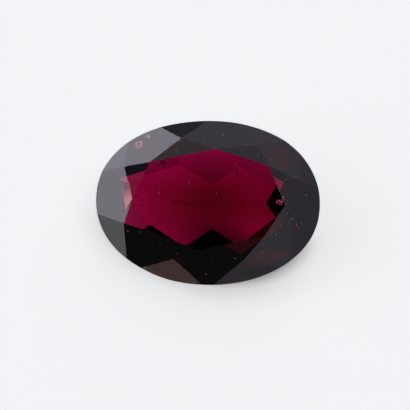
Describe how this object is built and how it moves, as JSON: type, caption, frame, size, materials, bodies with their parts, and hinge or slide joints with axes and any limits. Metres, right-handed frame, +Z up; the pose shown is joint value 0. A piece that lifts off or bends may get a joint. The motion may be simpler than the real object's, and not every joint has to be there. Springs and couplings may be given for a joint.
{
  "type": "faceted oval garnet gemstone",
  "caption": "Loose oval faceted garnet gemstone with a flat table, sloping crown facets and a shallow pavilion, lying on one pavilion facet.",
  "frame": {"origin": "middle of the bounding box at its base: the level surface that the stone lies on", "axes": "+Z up, +X along the long axis of the oval towards its higher end, -Y the side that the table leans towards"},
  "size_m": [0.008, 0.0054, 0.0036],
  "materials": {
    "garnet": "polished clear deep crimson garnet, refractive index 1.76"
  },
  "bodies": {
    "root": {"faceted_garnet": "garnet"}
  },
  "joints": []
}
